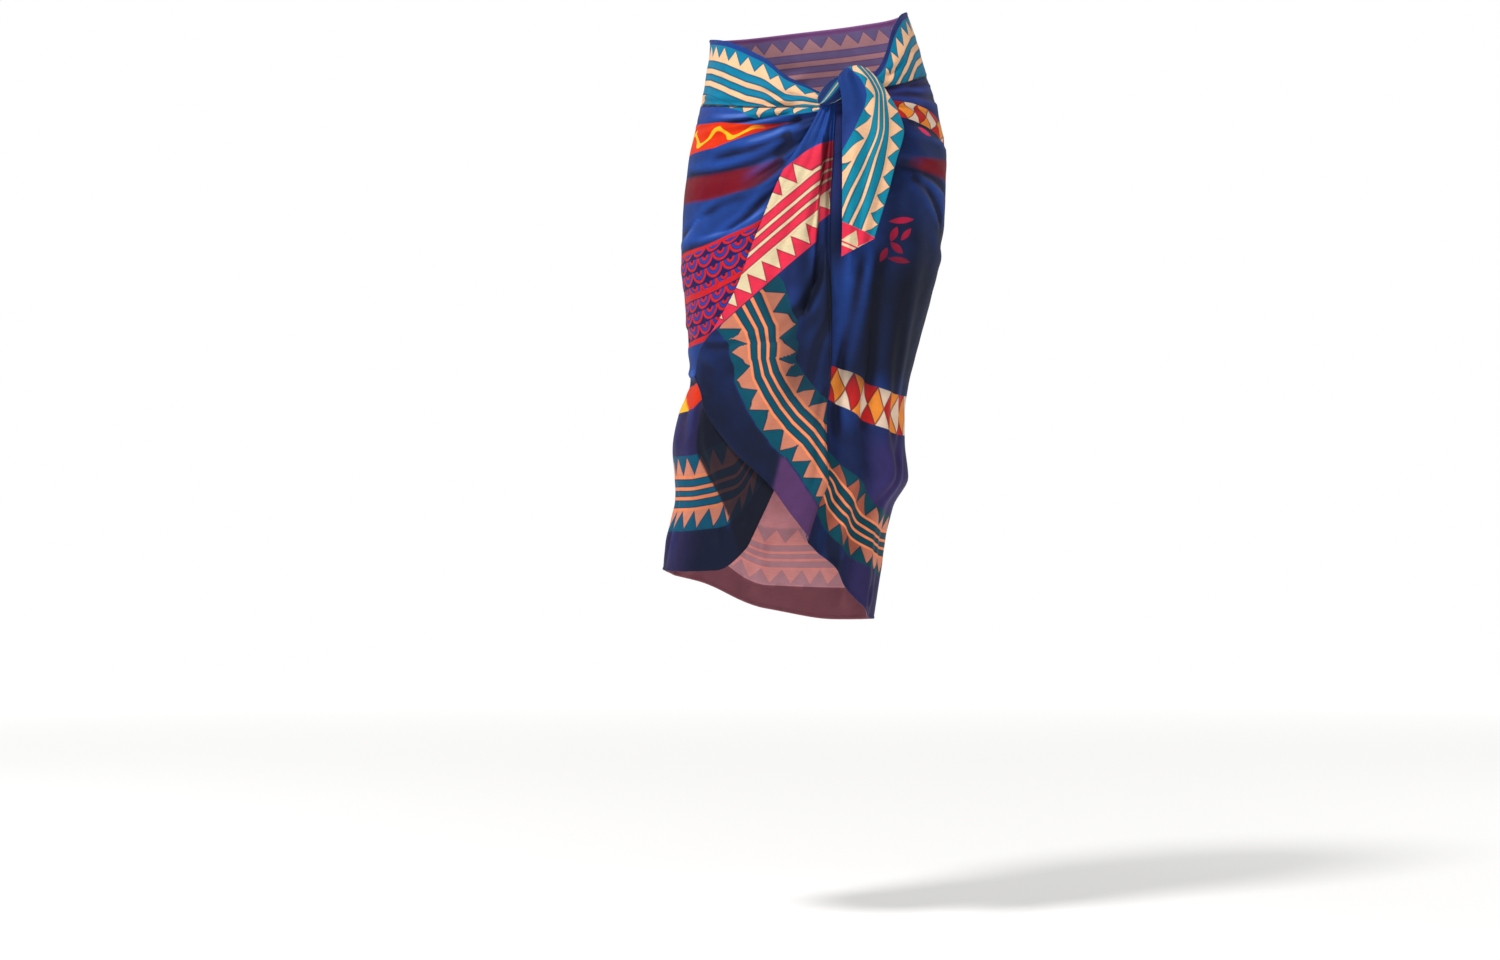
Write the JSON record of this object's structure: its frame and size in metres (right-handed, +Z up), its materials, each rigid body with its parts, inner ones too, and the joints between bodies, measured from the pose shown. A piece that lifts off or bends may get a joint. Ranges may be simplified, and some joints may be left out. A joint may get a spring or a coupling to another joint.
{
  "type": "sarong wrap skirt",
  "caption": "Wrap skirt of light bordered cloth wound once round the hips, knotted in front, with a hanging corner and an open slanting hem",
  "frame": {"origin": "centre of the waist opening, where the wearer's body holds the knotted cloth", "axes": "+Z up the body from the hem to the waist, -Y out of the front, +X to the wearer's left"},
  "size_m": [0.3361, 0.2676, 0.7213],
  "materials": {
    "ground_cloth": "soft sheen voile, navy printed ground",
    "red_border_cloth": "soft sheen voile, red printed border",
    "teal_border_cloth": "soft sheen voile, teal printed border"
  },
  "bodies": {
    "root": {"right_front_wrap": "ground_cloth", "left_front_wrap": "ground_cloth", "back_wrap": "ground_cloth", "front_drape": "red_border_cloth", "knot": "teal_border_cloth", "border_tail": "teal_border_cloth"}
  },
  "joints": []
}
